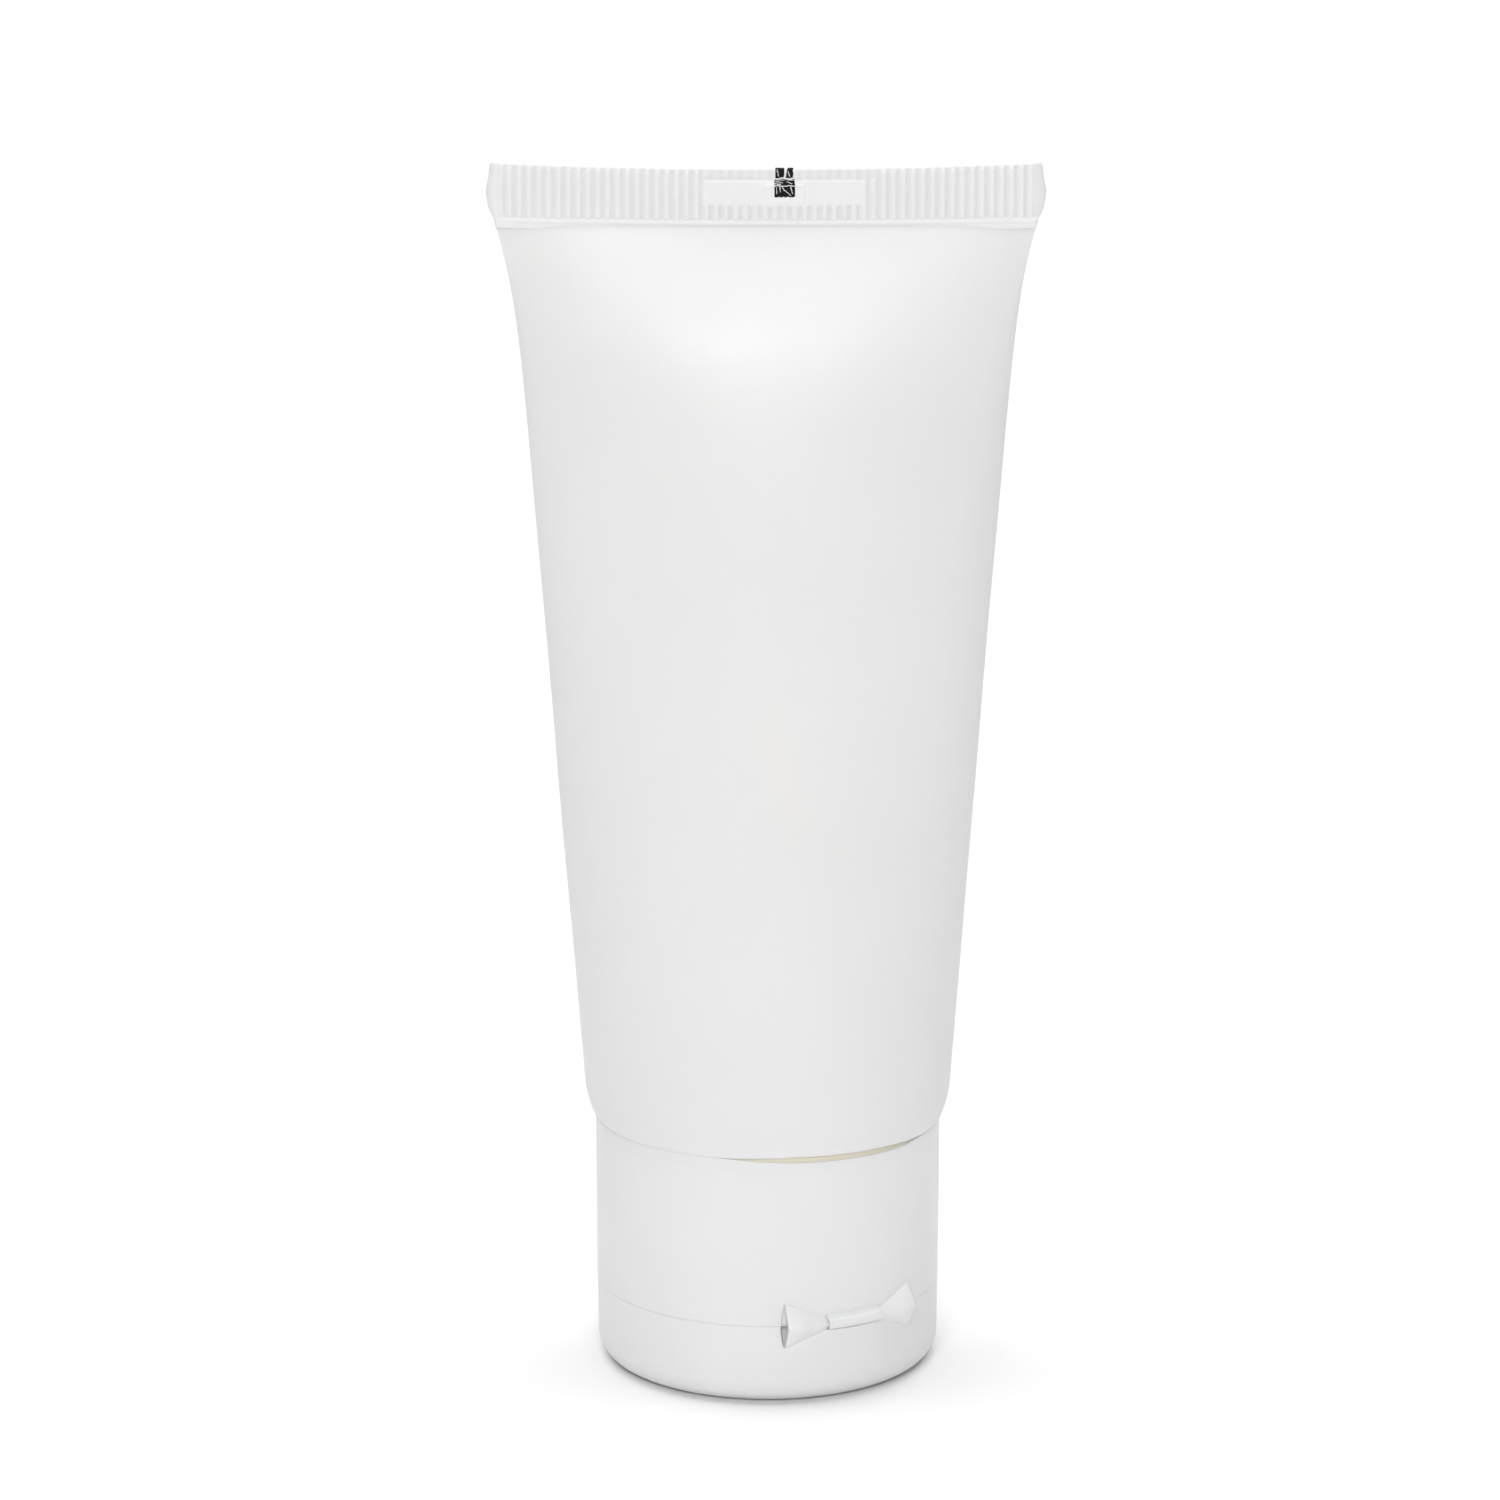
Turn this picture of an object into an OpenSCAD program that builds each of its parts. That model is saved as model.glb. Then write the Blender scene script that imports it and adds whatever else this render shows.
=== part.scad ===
// Squeeze tube for shaving cream, standing upside down on its flip-top closure.
// Millimetres. +Z is up, and the origin is the centre of the lid's flat resting face.
// The end seal lies in the XZ plane, and the closure's hinge is turned away from -Y towards +X.

/* [Tube] */
// Height from the resting face to the top of the end seal
overall_h = 120.6; // [118:0.2:126]
// Diameter of the round end of the sleeve
tube_d = 35.4; // [35:0.1:36]
// Thickness of the sleeve's wall
wall = 0.5; // [0.4:0.05:0.6]
// How far each side of the sleeve spreads between its round end and the seal
side_spread = 6.95; // [6.5:0.05:7.2]
// Extra spread of each side just below the seal
seal_flare = 1.5; // [1.1:0.05:1.6]

/* [End seal] */
// Height of the crimped band
seal_h = 5.5; // [5.2:0.1:7]
// Thickness of the two walls welded together
seal_t = 0.8; // [0.8:0.1:1.2]
// Distance from one crimped rib to the next
rib_pitch = 0.95; // [0.9:0.05:1.2]
// Depth of a rib
rib_depth = 0.22; // [0.1:0.02:0.3]
// Width of the plain code panel
panel_w = 15.5; // [12:0.5:18]
// Height of the plain code panel
panel_h = 2.5; // [2:0.1:3]

/* [Closure] */
// Height of the closure, lid included
cap_h = 25; // [24.6:0.1:25.4]
// Diameter of the closure at its rim
cap_d = 33.7; // [33.6:0.1:34]
// Height of the lid, up to the parting line
lid_h = 8.3; // [8:0.1:9]
// Thickness of the closure's outer wall
skirt_t = 1.4; // [1.2:0.1:1.5]
// Radius of the lid's lower edge
lid_fillet = 2.6; // [2:0.1:3]
// Radius of the hole that the cream leaves by
orifice_r = 1.6; // [1.6:0.05:1.8]

/* [Neck] */
// Outer radius of the neck
neck_r = 8.45; // [8.4:0.05:8.5]
// Radius of the hole through the neck
neck_bore_r = 7; // [6.9:0.05:7]
// Clearance between the neck and the collar that turns on it
running_gap = 0.1; // [0.08:0.01:0.1]

/* [Hinge] */
// Angle from -Y to the hinge, towards +X
hinge_azimuth = 30; // [0:1:60]
// Radius of the round middle strap
strap_r = 0.55; // [0.45:0.05:0.6]
// Length of the middle strap
strap_len = 5.4; // [5:0.1:7]
// Half of the hinge's whole width
wing_reach = 7.4; // [7:0.1:8.5]
// Half of a wing's height at its outer end
wing_half_h = 2.5; // [2:0.1:2.6]

/* [Hidden] */
$fn = 96;

// Tube
tube_r = tube_d / 2;
seal_z = overall_h - seal_h;
sleeve_z = cap_h + 0.1;
spread_z = sleeve_z + 0.9;
edge_in = 1.05;
edge_h = 3.5;
edge_top_z = sleeve_z + edge_h;
hoelder = ln(2) / ln(PI / 2);
sleeve_sides = 44;
edge_rings = 4;
body_rings = 16;
cavity_end = 0.985;
cream_gap = 0.15;
cream_end = 0.96;
cream_neck_z = 13.2;

// Closure
lid_r = cap_d / 2 - 0.15;
base_foot_r = cap_d / 2 - 0.1;
parting_gap = 0.1;
lid_top_z = lid_h - parting_gap / 2;
deck_z = lid_h + parting_gap / 2;
deck_t = 1.6;
deck_top_z = deck_z + deck_t;
rim_bevel = 0.25;
skirt_inner_r = cap_d / 2 - skirt_t;
lid_floor_t = 1.4;
lid_inner_r = lid_r - skirt_t;
lid_inner_fillet = 1.6;
step_r = lid_inner_r - 0.3;
step_h = 1;
step_t = 0.7;
latch_bead = 0.15;
collar_t = 1.65;
collar_r = neck_r + running_gap;
collar_top_z = 21;
gusset_count = 8;
gusset_t = 0.8;
gusset_h = 6;
nozzle_r = 3.4;
nozzle_tip_z = 5.6;
plug_base_r = 1.5;
plug_tip_r = 1.25;
plug_tip_z = 7.6;
socket_r = nozzle_r + 0.35;
socket_t = 0.8;
socket_top_z = 6.3;

// Neck and shoulder
lip_z = deck_top_z + 0.15;
bead_out = 0.75;
bead_z = 13.1;
bead_h = 1.9;
seal_ring_r = neck_bore_r - 0.05;
seal_ring_t = 0.65;
seal_ring_top_z = 13;
shoulder_z = cap_h + 0.25;
shoulder_t = 1.15;
shoulder_steps = 3;
neck_root_z = 22;
funnel_r = 14.8;

// Hinge
hinge_r = lid_r;
strap_gap = 0.1;
wing_back_r = base_foot_r + 0.08;
wing_root = strap_len / 2;
wing_root_half_h = 0.6;
wing_t = 0.35;
wing_bulge = 0.65;
wing_steps = 6;

// Thumb tab and the hollow above it
tab_azimuth = hinge_azimuth + 180;
tab_half_angle = 14;
tab_out = 0.85;
tab_t = 1.4;
scoop_r = 8;
scoop_depth = 0.8;
scoop_z = deck_z + 1.8;

// ---- Shape of the sleeve ----

// Share of the way from the sleeve's round end to the seal.
function rise(z) = max(0, (z - spread_z) / (seal_z - spread_z));

function half_width(t) = tube_r + side_spread * t + seal_flare * pow(t, 15);

// Girth of a quarter of the section: it shrinks a little towards the end that is crimped flat.
function quarter_girth(t) =
    let (round_end = PI * tube_r / 2,
         flat_w = half_width(1),
         flat_end = pow(pow(flat_w, hoelder) + pow(seal_t / 2, hoelder), 1 / hoelder))
    round_end + (flat_end - round_end) * pow(t, 3);

// Half depth that gives an oval of half width half_width(t) that girth.
function half_depth(t) =
    pow(pow(quarter_girth(t), hoelder) - pow(half_width(t), hoelder), 1 / hoelder);

// The section is an oval whose ends grow sharper towards the seal.
function end_sharpness(t) = 1 + 0.35 * pow(t, 3);

// How far the sleeve's lower edge curls in at height z.
function edge_inset(z) =
    let (drop = min(1, max(0, (edge_top_z - z) / edge_h)))
    edge_in * (1 - sqrt(1 - drop * drop));

// One ring of the sleeve's skin, moved inwards by inset.
function sleeve_ring(z, inset) =
    let (t = rise(z),
         a = half_width(t) - edge_inset(z) - inset,
         b = half_depth(t) - edge_inset(z) - inset,
         k = end_sharpness(t))
    oval_ring(a, b, k, z);

function oval_ring(a, b, k, z) =
    [for (i = [0:sleeve_sides - 1])
        let (angle = 360 * i / sleeve_sides, s = sin(angle))
        [a * cos(angle), b * sign(s) * pow(abs(s), k), z]];

// Heights of the rings: close together at the curled edge and below the seal.
edge_zs = [for (i = [0:edge_rings - 1]) sleeve_z + edge_h * (1 - cos(90 * i / edge_rings))];
function body_zs(end) =
    [for (i = [0:body_rings])
        edge_top_z + (seal_z - edge_top_z) * end * (1 - pow(1 - i / body_rings, 1.7))];

// Closed skin over a list of rings with the same number of points.
module skin(rings) {
    n = len(rings[0]);
    last = (len(rings) - 1) * n;
    sides = [for (r = [0:len(rings) - 2], i = [0:n - 1], half = [0:1])
        let (a = r * n + i,
             b = a + n,
             c = (r + 1) * n + (i + 1) % n,
             d = r * n + (i + 1) % n)
        half == 0 ? [a, b, c] : [a, c, d]];
    ends = [[for (i = [0:n - 1]) i], [for (i = [n - 1:-1:0]) last + i]];
    polyhedron([for (ring = rings) each ring], concat(sides, ends));
}

// ---- Tube ----

// Thin extruded skin, open at the round end, closed by the seal at the other.
module tube_sleeve() {
    zs_in = concat(edge_zs, body_zs(cavity_end));
    zs_out = concat(edge_zs, body_zs(1));
    inner = [for (i = [len(zs_in) - 1:-1:0]) sleeve_ring(zs_in[i], wall)];
    outer = [for (z = zs_out) sleeve_ring(z, 0)];
    color([0.93, 0.93, 0.93]) skin(concat(inner, outer));
}

// Outline of the crimped band, seen from the front: widest a little above its middle.
module seal_outline() {
    foot = half_width(1);
    side = [
        [foot, 0],
        [foot + 0.45, seal_h * 0.2],
        [foot + 0.7, seal_h * 0.48],
        [foot + 0.4, seal_h - 0.5],
        [foot + 0.1, seal_h]
    ];
    polygon(concat(side, [for (i = [len(side) - 1:-1:0]) [-side[i][0], side[i][1]]]));
}

// Ribbed section of the band: both faces step in and out together.
module ribbed_section() {
    half_ribs = ceil((half_width(1) + 1) / rib_pitch);
    step = rib_pitch / 4;
    wave = [for (i = [-4 * half_ribs:4 * half_ribs])
        [i * step, (floor((i + 4 * half_ribs) / 2) % 2 == 0 ? 0.5 : -0.5) * rib_depth]];
    count = len(wave);
    front = [for (i = [0:count - 1]) [wave[i][0], wave[i][1] - seal_t / 2]];
    back = [for (i = [count - 1:-1:0]) [wave[i][0], wave[i][1] + seal_t / 2]];
    polygon(concat(front, back));
}

// The sleeve's end, pressed flat and welded between ribbed jaws, with a plain code panel in front.
module end_seal() {
    panel_x = -6.4;
    panel_z = seal_z + 2.1;
    color([0.92, 0.92, 0.92]) {
        intersection() {
            translate([0, 2, seal_z]) rotate([90, 0, 0]) linear_extrude(4) seal_outline();
            translate([0, 0, seal_z]) linear_extrude(seal_h) ribbed_section();
        }
        translate([panel_x, -seal_t / 2 - rib_depth / 2, panel_z])
            cube([panel_w, rib_depth * 1.5, panel_h]);
    }
}

// Printed mark that the sealing machine's eye reads to turn the sleeve before it is crimped.
module registration_mark() {
    mark_w = 1.9;
    mark_h = 2.8;
    mark_x = 1.54;
    ink_t = 0.05;
    color([0.05, 0.05, 0.06])
        translate([mark_x - mark_w / 2, -seal_t / 2 - rib_depth / 2 - ink_t, overall_h - mark_h - 0.05])
            cube([mark_w, ink_t, mark_h]);
}

// Radius that fits inside the sleeve's curled edge at height z.
function head_r(z) = (half_depth(rise(z)) - edge_inset(z) - wall) * cos(180 / sleeve_sides);

// Moulded head that closes the sleeve's round end: conical shoulder, neck and snap bead.
module tube_shoulder() {
    bead_r = neck_r + bead_out;
    rim = [for (i = [0:shoulder_steps])
        let (z = shoulder_z + shoulder_t * i / shoulder_steps)
        [head_r(z), z]];
    color([0.95, 0.95, 0.95]) rotate_extrude()
        polygon(concat(
            [[neck_bore_r, lip_z],
             [neck_r - 0.3, lip_z],
             [neck_r, lip_z + 0.3],
             [neck_r, bead_z],
             [bead_r, bead_z + 0.4],
             [bead_r, bead_z + bead_h - 0.6],
             [neck_r, bead_z + bead_h],
             [neck_r, neck_root_z - 0.6],
             [neck_r + 0.6, neck_root_z],
             [skirt_inner_r, shoulder_z]],
            rim,
            [[funnel_r, shoulder_z + shoulder_t],
             [neck_bore_r, neck_root_z + 0.9]]
        ));
}

// The cream itself: it fills the neck, the shoulder and the sleeve, with a headspace below the seal.
module cream_fill() {
    funnel = [[neck_bore_r - cream_gap, cream_neck_z],
              [neck_bore_r - cream_gap, neck_root_z + 1.1],
              [funnel_r, shoulder_z + shoulder_t + 0.2]];
    low = [for (p = funnel) oval_ring(p[0], p[0], 1, p[1])];
    high = [for (z = body_zs(cream_end)) sleeve_ring(z, wall + cream_gap)];
    color([0.98, 0.98, 0.96]) skin(concat(low, high));
}

// ---- Closure ----

module at_hinge() {
    rotate([0, 0, hinge_azimuth]) translate([0, -hinge_r, lid_h]) children();
}

// Round cutter or strap on the hinge's axis.
module hinge_bar(r, length) {
    rotate([0, 90, 0]) cylinder(r = r, h = length, center = true);
}

// Outer skirt, deck, snap collar and seal ring, in one profile.
module base_profile() {
    bead_r = neck_r + bead_out + running_gap;
    outer_r = cap_d / 2;
    polygon([
        [nozzle_r, deck_z],
        [step_r - step_t, deck_z],
        [step_r - step_t, deck_z - step_h],
        [step_r, deck_z - step_h],
        [step_r, deck_z],
        [base_foot_r, deck_z],
        [outer_r, cap_h - rim_bevel],
        [outer_r - rim_bevel, cap_h],
        [skirt_inner_r + rim_bevel, cap_h],
        [skirt_inner_r, cap_h - rim_bevel],
        [skirt_inner_r, deck_top_z],
        [collar_r + collar_t, deck_top_z],
        [collar_r + collar_t, collar_top_z - 0.5],
        [collar_r + collar_t - 0.5, collar_top_z],
        [collar_r + 0.4, collar_top_z],
        [collar_r, collar_top_z - 0.6],
        [collar_r, bead_z + bead_h + 0.2],
        [bead_r, bead_z + bead_h - 0.4],
        [bead_r, bead_z + 0.3],
        [collar_r, bead_z - 0.2],
        [collar_r, deck_top_z],
        [seal_ring_r, deck_top_z],
        [seal_ring_r, seal_ring_top_z - 0.4],
        [seal_ring_r - 0.25, seal_ring_top_z],
        [seal_ring_r - seal_ring_t, seal_ring_top_z],
        [seal_ring_r - seal_ring_t, deck_top_z],
        [nozzle_r, deck_top_z]
    ]);
}

// Closure body: it snaps over the neck's bead and turns on the neck.
module cap_base() {
    gusset_len = skirt_inner_r - collar_r - collar_t + 0.6;
    color([0.96, 0.96, 0.97]) difference() {
        union() {
            rotate_extrude() base_profile();
            for (i = [0:gusset_count - 1])
                rotate([0, 0, hinge_azimuth + 360 * (i + 0.5) / gusset_count])
                    translate([collar_r + collar_t - 0.3, -gusset_t / 2, deck_top_z - 0.2])
                        cube([gusset_len, gusset_t, gusset_h]);
        }
        at_hinge() hinge_bar(strap_r, strap_len);
        rotate([0, 0, tab_azimuth])
            translate([0, -(cap_d / 2 + scoop_r - scoop_depth), scoop_z]) sphere(r = scoop_r);
    }
}

// Spout in the middle of the deck, with the hole that the cream leaves by.
module nozzle() {
    color([0.96, 0.96, 0.97]) rotate_extrude()
        polygon([
            [orifice_r, nozzle_tip_z],
            [nozzle_r - 0.5, nozzle_tip_z],
            [nozzle_r, nozzle_tip_z + 0.5],
            [nozzle_r, deck_top_z],
            [orifice_r + 0.9, deck_top_z],
            [orifice_r, deck_top_z - 0.9]
        ]);
}

// Shallow cup that shuts the nozzle and that the tube stands on.
module lid() {
    foot_r = lid_r - 0.1;
    outer_arc = [for (a = [-90:15:0])
        [foot_r - lid_fillet + lid_fillet * cos(a), lid_fillet + lid_fillet * sin(a)]];
    inner_z = lid_floor_t + lid_inner_fillet;
    inner_arc = [for (a = [0:-15:-90])
        [lid_inner_r - lid_inner_fillet + lid_inner_fillet * cos(a), inner_z + lid_inner_fillet * sin(a)]];
    color([0.96, 0.96, 0.97]) difference() {
        rotate_extrude()
            polygon(concat(
                [[0, 0]],
                outer_arc,
                [[lid_r, lid_top_z],
                 [lid_inner_r, lid_top_z],
                 [lid_inner_r - latch_bead, lid_top_z - 0.3],
                 [lid_inner_r, lid_top_z - 0.6]],
                inner_arc,
                [[socket_r + socket_t, lid_floor_t],
                 [socket_r + socket_t, socket_top_z],
                 [socket_r + 0.2, socket_top_z],
                 [socket_r, socket_top_z - 0.3],
                 [socket_r, lid_floor_t],
                 [0, lid_floor_t]]
            ));
        at_hinge() hinge_bar(strap_r + strap_gap, strap_len + 4 * strap_gap);
    }
}

// Tapered pin that shuts the orifice when the lid is closed.
module sealing_plug() {
    color([0.96, 0.96, 0.97]) rotate_extrude()
        polygon([
            [0, lid_floor_t],
            [plug_base_r + 0.5, lid_floor_t],
            [plug_base_r, lid_floor_t + 0.6],
            [plug_base_r, nozzle_tip_z],
            [plug_tip_r, plug_tip_z - 0.3],
            [plug_tip_r - 0.4, plug_tip_z],
            [0, plug_tip_z]
        ]);
}

// Lip that a thumb lifts, opposite the hinge.
module thumb_tab() {
    bottom_z = lid_top_z - tab_t;
    color([0.96, 0.96, 0.97])
        rotate([0, 0, tab_azimuth - 90 - tab_half_angle])
            rotate_extrude(angle = 2 * tab_half_angle)
                polygon([
                    [lid_r, bottom_z],
                    [lid_r + tab_out * 0.6, bottom_z + tab_t * 0.45],
                    [lid_r + tab_out, bottom_z + tab_t * 0.7],
                    [lid_r + tab_out, lid_top_z - 0.2],
                    [lid_r + tab_out - 0.2, lid_top_z],
                    [lid_r, lid_top_z]
                ]);
}

// ---- Bow-tie hinge ----

// Round strap that the lid turns about.
module hinge_strap() {
    color([0.97, 0.97, 0.98]) at_hinge() hinge_bar(strap_r, strap_len);
}

// Section of a wing at distance v from the hinge's middle, in the hinge's own frame.
function wing_section(v) =
    let (s = (v - wing_root) / (wing_reach - wing_root),
         h = wing_root_half_h + (wing_half_h - wing_root_half_h) * s,
         skin_y = hinge_r - sqrt(wing_back_r * wing_back_r - v * v),
         heights = [for (i = [0:wing_steps]) 1 - 2 * i / wing_steps],
         bulge = [for (w = heights) wing_bulge * (0.4 + 0.6 * s) * (1 - w * w)])
    concat(
        [for (i = [0:wing_steps]) [v, skin_y - wing_t - bulge[i], h * heights[i]]],
        [for (i = [wing_steps:-1:0]) [v, skin_y - bulge[i], h * heights[i]]]
    );

// Thin panel that bridges the parting line and springs the lid open or shut.
module hinge_wing(side) {
    rings = [for (i = [0:wing_steps]) wing_section(wing_root + (wing_reach - wing_root) * i / wing_steps)];
    color([0.97, 0.97, 0.98])
        at_hinge() mirror([side < 0 ? 1 : 0, 0, 0]) skin(rings);
}

module hinge_wing_left() {
    hinge_wing(-1);
}

module hinge_wing_right() {
    hinge_wing(1);
}

tube_sleeve();
end_seal();
registration_mark();
tube_shoulder();
cream_fill();
cap_base();
nozzle();
hinge_strap();
hinge_wing_left();
hinge_wing_right();
lid();
sealing_plug();
thumb_tab();
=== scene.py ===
import math

import bpy
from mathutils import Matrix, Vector, noise


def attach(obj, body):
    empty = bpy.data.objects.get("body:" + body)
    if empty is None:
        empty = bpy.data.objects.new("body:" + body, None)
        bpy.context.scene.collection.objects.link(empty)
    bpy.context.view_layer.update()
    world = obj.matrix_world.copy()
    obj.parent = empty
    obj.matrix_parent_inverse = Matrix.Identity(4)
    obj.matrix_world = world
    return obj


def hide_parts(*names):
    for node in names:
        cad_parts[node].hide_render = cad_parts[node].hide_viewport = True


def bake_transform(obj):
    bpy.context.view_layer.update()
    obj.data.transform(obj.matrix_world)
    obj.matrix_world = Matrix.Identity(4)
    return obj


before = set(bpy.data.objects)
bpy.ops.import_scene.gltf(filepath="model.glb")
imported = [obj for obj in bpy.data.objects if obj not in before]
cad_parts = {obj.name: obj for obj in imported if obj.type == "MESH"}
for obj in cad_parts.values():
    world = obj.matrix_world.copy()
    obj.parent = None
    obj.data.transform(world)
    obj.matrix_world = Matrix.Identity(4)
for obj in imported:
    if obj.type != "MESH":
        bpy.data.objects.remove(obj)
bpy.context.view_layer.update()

# Sizes are in millimetres and heights are above the lid's resting face.
# The mesh helpers turn them into metres. Lights and the camera are in metres.
MM = 0.001

OVERALL_H = 120.6
SEAL_H = 5.48
SEAL_Z = OVERALL_H - SEAL_H
SEAL_HALF_T = 0.27
CAP_TOP_Z = 24.6
RIM_R = 16.85
FOOT_R = 16.75
LID_R = 16.73
LID_TOP_Z = 8.293
DECK_Z = 8.307
HINGE_Z = 8.3
HINGE_R = 16.7
HINGE_AZIMUTH = math.radians(30)
SKIRT_T = 1.4


# ---- Small helpers ----

def smooth(value, low, high):
    """0 up to low, 1 from high on, and an even S between them."""
    share = min(1.0, max(0.0, (value - low) / (high - low)))
    return share * share * (3 - 2 * share)


def spread(low, high, count):
    """count + 1 evenly spaced numbers from low to high."""
    return [low + (high - low) * i / count for i in range(count + 1)]


def arc(centre_r, centre_z, radius, start_deg, end_deg, steps=8):
    """Points of a profile along an arc, as (radius, height)."""
    angles = [math.radians(a) for a in spread(start_deg, end_deg, steps)]
    return [(centre_r + radius * math.cos(a), centre_z + radius * math.sin(a)) for a in angles]


def build(name, points, faces, material):
    """Smooth-shaded mesh object from points in millimetres."""
    mesh = bpy.data.meshes.new(name)
    mesh.from_pydata([tuple(MM * c for c in p) for p in points], [], faces)
    mesh.polygons.foreach_set("use_smooth", [True] * len(mesh.polygons))
    mesh.materials.append(material)
    mesh.update()
    obj = bpy.data.objects.new(name, mesh)
    bpy.context.scene.collection.objects.link(obj)
    return obj


def row_faces(rows, width, closed):
    """Quads that join each row of points to the next one."""
    faces = []
    for r in range(rows - 1):
        for c in range(width if closed else width - 1):
            d = (c + 1) % width
            faces.append((r * width + c, r * width + d, (r + 1) * width + d, (r + 1) * width + c))
    return faces


def skin(name, rows, material, closed=True):
    """Mesh over rows of points. Rows that run anticlockwise and upwards face outwards."""
    points = [p for row in rows for p in row]
    return build(name, points, row_faces(len(rows), len(rows[0]), closed), material)


def lathe(name, profile, material, angles=None, moved=None):
    """Turned piece from a closed profile of (radius, height), anticlockwise. moved may shift each point."""
    angles = angles or [2 * math.pi * i / 180 for i in range(180)]
    rows = []
    for radius, height in profile + profile[:1]:
        row = []
        for a in angles:
            r, z = moved(radius, height, a) if moved else (radius, height)
            row.append((r * math.sin(a), -r * math.cos(a), z))
        rows.append(row)
    return skin(name, rows, material)


def steps_between(value, knots):
    """Straight-line value between knots of (position, value)."""
    for (low, first), (high, second) in zip(knots, knots[1:]):
        if value <= high:
            return first + (second - first) * max(0.0, value - low) / (high - low)
    return knots[-1][1]


# ---- Materials ----

def new_material(name):
    """New material with its nodes, its links and its shader."""
    material = bpy.data.materials.new(name)
    material.use_nodes = True
    nodes = material.node_tree.nodes
    return material, nodes, material.node_tree.links, nodes["Principled BSDF"]


def noise_node(nodes, links, coords, scale, detail=2.0, roughness=0.5):
    node = nodes.new("ShaderNodeTexNoise")
    node.inputs["Scale"].default_value = scale
    node.inputs["Detail"].default_value = detail
    node.inputs["Roughness"].default_value = roughness
    links.new(coords, node.inputs["Vector"])
    return node.outputs["Fac"]


def remap(nodes, links, value, low, high, to_low, to_high):
    node = nodes.new("ShaderNodeMapRange")
    node.inputs["From Min"].default_value = low
    node.inputs["From Max"].default_value = high
    node.inputs["To Min"].default_value = to_low
    node.inputs["To Max"].default_value = to_high
    links.new(value, node.inputs["Value"])
    return node.outputs["Result"]


def mix_colours(nodes, links, factor, first, second):
    """first where factor is 0 and second where it is 1. Each is a colour or a socket."""
    node = nodes.new("ShaderNodeMix")
    node.data_type = "RGBA"
    links.new(factor, node.inputs["Factor"])
    for socket, colour in ((node.inputs[6], first), (node.inputs[7], second)):
        if isinstance(colour, tuple):
            socket.default_value = (*colour, 1)
        else:
            links.new(colour, socket)
    return node.outputs[2]


def bump(nodes, links, height, distance, strength, below=None):
    node = nodes.new("ShaderNodeBump")
    node.inputs["Distance"].default_value = distance
    node.inputs["Strength"].default_value = strength
    links.new(height, node.inputs["Height"])
    if below:
        links.new(below, node.inputs["Normal"])
    return node.outputs["Normal"]


def moulded_plastic(name, colour, shade, roughness, grain_mm, grain_depth_mm, softness, stain_or_painted_shade=None):
    """White plastic: faint cloudy tint, uneven gloss, spark-eroded grain and slow waves in the surface."""
    material, nodes, links, shader = new_material(name)
    coords = nodes.new("ShaderNodeTexCoord").outputs["Object"]
    clouds = noise_node(nodes, links, coords, 60, 3)
    tone = mix_colours(nodes, links, remap(nodes, links, clouds, 0.35, 0.65, 0, 1), colour, shade)
    specks = noise_node(nodes, links, coords, 900, 1)
    tone = mix_colours(nodes, links, remap(nodes, links, specks, 0.74, 0.8, 0, 0.25), tone, shade)
    # Optional extra colour: a real stain on the sleeve, painted shade in the grooves of the crimped film.
    if stain_or_painted_shade:
        tone = stain_or_painted_shade(nodes, links, coords, tone)
    links.new(tone, shader.inputs["Base Color"])
    gloss = noise_node(nodes, links, coords, 140, 4, 0.6)
    uneven = remap(nodes, links, gloss, 0.3, 0.7, roughness - 0.05, roughness + 0.05)
    links.new(uneven, shader.inputs["Roughness"])
    waves = noise_node(nodes, links, coords, 45, 1)
    grain = noise_node(nodes, links, coords, 1 / (grain_mm * MM), 2)
    wavy = bump(nodes, links, waves, 0.12 * MM, 0.6)
    links.new(bump(nodes, links, grain, grain_depth_mm * MM, 0.5, wavy), shader.inputs["Normal"])
    shader.inputs["Subsurface Weight"].default_value = softness
    shader.inputs["Subsurface Radius"].default_value = (1, 0.98, 0.96)
    shader.inputs["Subsurface Scale"].default_value = 0.6 * MM
    shader.inputs["Specular IOR Level"].default_value = 0.4
    return material


def warm_smudge(nodes, links, coords, tone):
    """Faint beige rub mark, long and upright, on the front of the sleeve."""
    place = nodes.new("ShaderNodeMapping")
    place.vector_type = "TEXTURE"
    place.inputs["Location"].default_value = (1.4 * MM, -16 * MM, 64 * MM)
    place.inputs["Rotation"].default_value = (0, math.radians(-12), 0)
    place.inputs["Scale"].default_value = (2.2 * MM, 8 * MM, 8 * MM)
    links.new(coords, place.inputs["Vector"])
    ball = nodes.new("ShaderNodeTexGradient")
    ball.gradient_type = "SPHERICAL"
    links.new(place.outputs["Vector"], ball.inputs["Vector"])
    strength = remap(nodes, links, ball.outputs["Fac"], 0, 1, 0, 0.35)
    return mix_colours(nodes, links, strength, tone, (0.80, 0.76, 0.68))


def pressed_tone(nodes, links, coords, tone):
    """Painted shade: mixes grey into the crimped band where make_crimp's attribute marks its grooves, a
    little to one side of each. The share is kept between 0 and 1.
    """
    groove = nodes.new("ShaderNodeAttribute")
    groove.attribute_name = "pressed"
    strength = remap(nodes, links, groove.outputs["Fac"], 0, 1, 0, 1)
    # The grey painted into the grooves as shade.
    return mix_colours(nodes, links, strength, tone, (0.715, 0.715, 0.715))


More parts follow.
